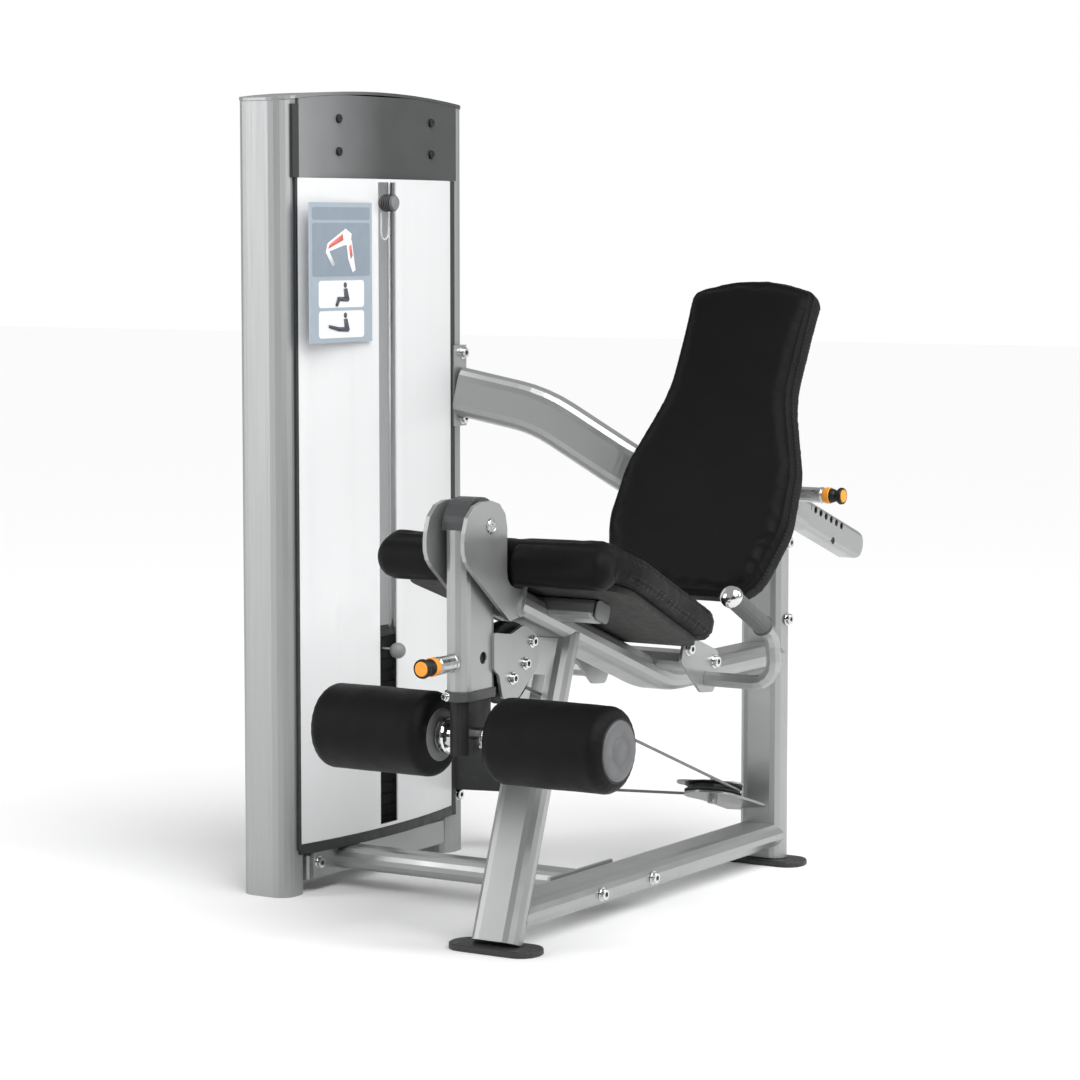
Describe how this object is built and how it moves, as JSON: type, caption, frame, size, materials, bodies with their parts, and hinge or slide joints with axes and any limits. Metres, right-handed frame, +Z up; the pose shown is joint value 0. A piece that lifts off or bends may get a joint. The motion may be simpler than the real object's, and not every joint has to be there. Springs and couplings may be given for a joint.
{
  "type": "leg extension machine",
  "caption": "Seated leg extension trainer: swinging lever with padded rollers, sloped seat, sliding backrest on a rail, and a shrouded weight tower linked by cable.",
  "frame": {"origin": "centre of the footprint, on the floor", "axes": "+Z up, the user faces -Y (rollers at the -Y end), the weight tower stands on the -X side"},
  "size_m": [1.043, 1.642, 1.549],
  "materials": {
    "black_plastic": "matte",
    "black_steel": "satin black",
    "black_vinyl": "fine grained upholstery",
    "board": "painted black",
    "brushed_aluminium": "fine brushed",
    "cable_coat": "smooth coated steel rope",
    "card": "printed, no wording",
    "chrome": "polished",
    "dark_grey_paint": "satin dark grey",
    "frosted_panel": "frosted, lets light through",
    "grey_plastic": "matte",
    "header_grey": "satin graphite",
    "rubber_grip": "matte",
    "silver_paint": "satin silver powder coat"
  },
  "bodies": {
    "frame": {"front_leg": "silver_paint", "rear_leg": "silver_paint", "base_rail": "silver_paint", "base_cross_tube": "silver_paint", "seat_rail": "silver_paint", "upper_brace": "silver_paint", "front_foot": "dark_grey_paint", "rear_foot": "dark_grey_paint", "yoke": "silver_paint", "pivot_axle": "chrome", "seat_cross_tube": "silver_paint", "handle_bracket": "silver_paint", "seat_board": "board", "seat_pad": "black_vinyl", "handle_bar_left": "silver_paint", "handle_bar_right": "silver_paint", "handle_grip_left": "rubber_grip", "handle_grip_right": "rubber_grip", "back_sleeve": "silver_paint", "back_pin_housing": "silver_paint", "rear_pulley_bracket": "silver_paint", "cable_guard": "dark_grey_paint", "tower_column_front": "brushed_aluminium", "tower_column_rear": "brushed_aluminium", "tower_cap": "header_grey", "header_panel_right": "header_grey", "header_panel_left": "header_grey", "shroud_right": "frosted_panel", "shroud_left": "frosted_panel", "shroud_trim": "dark_grey_paint", "base_beam": "silver_paint", "top_beam": "dark_grey_paint", "guide_rod_front": "chrome", "guide_rod_rear": "chrome", "weight_stack": "black_steel", "placard": "card", "leg_cable": "cable_coat", "lift_cable": "cable_coat", "lever_cable": "cable_coat"},
    "lever": {"lever_tube": "silver_paint", "lever_cap": "black_plastic", "cam": "black_steel", "cam_plate_left": "silver_paint", "cam_plate_right": "silver_paint", "lever_pin_housing": "silver_paint"},
    "lever_pin": {"lever_pin": "black_plastic"},
    "shin_carriage": {"shin_bar": "black_steel", "roller_shaft": "chrome"},
    "roller_left": {"roller_pad_left": "black_vinyl"},
    "roller_right": {"roller_pad_right": "black_vinyl"},
    "stack_head": {"head_plate": "black_steel"},
    "selector": {"selector_pin": "black_plastic"},
    "rear_wheel": {"rear_pulley": "black_plastic"},
    "base_wheel": {"base_pulley": "black_plastic"},
    "top_rear_wheel": {"top_rear_pulley": "black_plastic"},
    "top_stack_wheel": {"top_stack_pulley": "black_plastic"},
    "back_carriage": {"back_rail": "silver_paint", "back_pad": "black_vinyl"},
    "back_pin": {"back_pin": "black_plastic"},
    "addon_knob": {"addon_knob": "grey_plastic"}
  },
  "joints": [
    {"name": "lever_swing", "type": "hinge", "parent": "frame", "child": "lever", "pos_m": [0.2145, -0.6649, 0.768], "axis": [-1, 0, 0], "range_deg": [0, 100], "deforming": ["lever_cable"]},
    {"name": "shin_slide", "type": "slide", "parent": "lever", "child": "shin_carriage", "axis": [0, 0, -1], "range_m": [0, 0.15]},
    {"name": "roller_left_spin", "type": "hinge", "parent": "shin_carriage", "child": "roller_left", "pos_m": [0.2145, -0.6649, 0.395], "axis": [1, 0, 0], "continuous": true},
    {"name": "roller_right_spin", "type": "hinge", "parent": "shin_carriage", "child": "roller_right", "pos_m": [0.2145, -0.6649, 0.395], "axis": [1, 0, 0], "continuous": true},
    {"name": "lever_pin_pull", "type": "slide", "parent": "lever", "child": "lever_pin", "axis": [0, -1, 0], "range_m": [0, 0.012], "stiffness_N_per_m": 600},
    {"name": "stack_lift", "type": "slide", "parent": "frame", "child": "stack_head", "axis": [0, 0, 1], "range_m": [0, 0.39], "deforming": ["lift_cable"]},
    {"name": "selector_pin_pull", "type": "slide", "parent": "stack_head", "child": "selector", "axis": [1, 0, 0], "range_m": [0, 0.072]},
    {"name": "rear_pulley_spin", "type": "hinge", "parent": "frame", "child": "rear_wheel", "pos_m": [0.16226, 0.30829, 0.16105], "axis": [0.0986, -0.3485, -0.9321], "range_deg": [0, 425]},
    {"name": "base_pulley_spin", "type": "hinge", "parent": "frame", "child": "base_wheel", "pos_m": [-0.37339, 0.20757, 0.19203], "axis": [0.2723, -0.9622, 0], "range_deg": [0, 445]},
    {"name": "top_rear_pulley_spin", "type": "hinge", "parent": "frame", "child": "top_rear_wheel", "pos_m": [-0.4355, 0.14396, 1.43], "axis": [-1, 0, 0], "range_deg": [0, 445]},
    {"name": "top_stack_pulley_spin", "type": "hinge", "parent": "frame", "child": "top_stack_wheel", "pos_m": [-0.4355, -0.0429, 1.43], "axis": [-1, 0, 0], "range_deg": [0, 445]},
    {"name": "back_slide", "type": "slide", "parent": "frame", "child": "back_carriage", "axis": [0, -0.9432, 0.3322], "range_m": [0, 0.15]},
    {"name": "back_pin_pull", "type": "slide", "parent": "frame", "child": "back_pin", "axis": [1, 0, 0], "range_m": [0, 0.012], "stiffness_N_per_m": 600},
    {"name": "addon_knob_pull", "type": "slide", "parent": "frame", "child": "addon_knob", "axis": [1, 0, 0], "range_m": [0, 0.01], "stiffness_N_per_m": 600}
  ],
  "couplings": [
    {"joint": "stack_lift", "follows": "lever_swing", "m_per_rad": 0.22},
    {"joint": "rear_pulley_spin", "follows": "lever_swing", "ratio": 4.1905},
    {"joint": "base_pulley_spin", "follows": "lever_swing", "ratio": 4.4},
    {"joint": "top_rear_pulley_spin", "follows": "lever_swing", "ratio": 4.4},
    {"joint": "top_stack_pulley_spin", "follows": "lever_swing", "ratio": 4.4}
  ]
}
